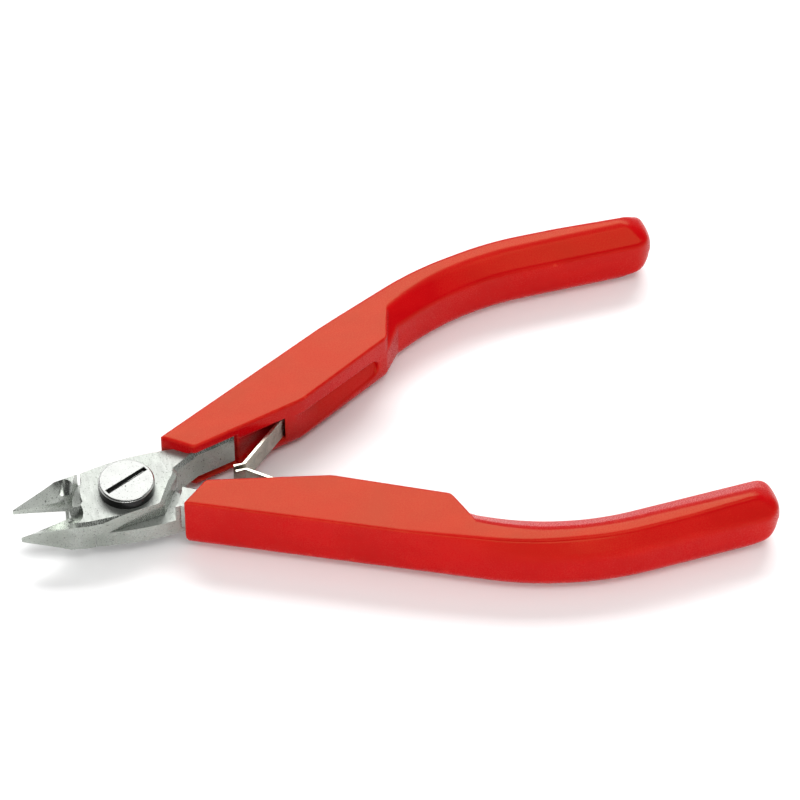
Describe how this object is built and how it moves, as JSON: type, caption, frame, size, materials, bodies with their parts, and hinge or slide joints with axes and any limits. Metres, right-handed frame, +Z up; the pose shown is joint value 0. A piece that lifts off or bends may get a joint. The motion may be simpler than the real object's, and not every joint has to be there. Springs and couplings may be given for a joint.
{
  "type": "diagonal cutting pliers",
  "caption": "Small diagonal cutting pliers with a screwed lap joint, moulded red grips and leaf springs that open the handles.",
  "frame": {"origin": "centre of the overall box on the surface that the grips' undersides rest on, handles open", "axes": "+X from the jaws to the handles' ends, +Y towards the far grip, +Z up along the pivot screw"},
  "size_m": [0.1077, 0.0646, 0.0098],
  "materials": {
    "forged_steel": "ground and polished bearing steel",
    "screw_steel": "turned and polished",
    "spring_steel": "cold rolled spring strip",
    "grip_plastic": "satin moulded, red all through"
  },
  "bodies": {
    "lower": {"lower_half": "forged_steel", "pivot_screw": "screw_steel", "grip_near": "grip_plastic", "spring_pin_near": "spring_steel"},
    "upper": {"upper_half": "forged_steel", "grip_far": "grip_plastic", "spring_pin_far": "spring_steel"},
    "leaf_near": {"leaf_spring_near": "spring_steel"},
    "leaf_far": {"leaf_spring_far": "spring_steel"}
  },
  "joints": [
    {"name": "jaw_pivot", "type": "hinge", "parent": "lower", "child": "upper", "pos_m": [-0.03725, 0, 0.005], "axis": [0, 0, -1], "range_deg": [0, 17.4], "stiffness_Nm_per_rad": 1.2},
    {"name": "leaf_near_fold", "type": "hinge", "parent": "lower", "child": "leaf_near", "pos_m": [-0.00975, -0.00916, 0.005], "axis": [0, 0, 1], "range_deg": [0, 13]},
    {"name": "leaf_far_fold", "type": "hinge", "parent": "upper", "child": "leaf_far", "pos_m": [-0.00975, 0.00916, 0.005], "axis": [0, 0, -1], "range_deg": [0, 13]}
  ],
  "couplings": [
    {"joint": "leaf_near_fold", "follows": "jaw_pivot", "ratio": 0.74138},
    {"joint": "leaf_far_fold", "follows": "jaw_pivot", "ratio": 0.74138}
  ]
}
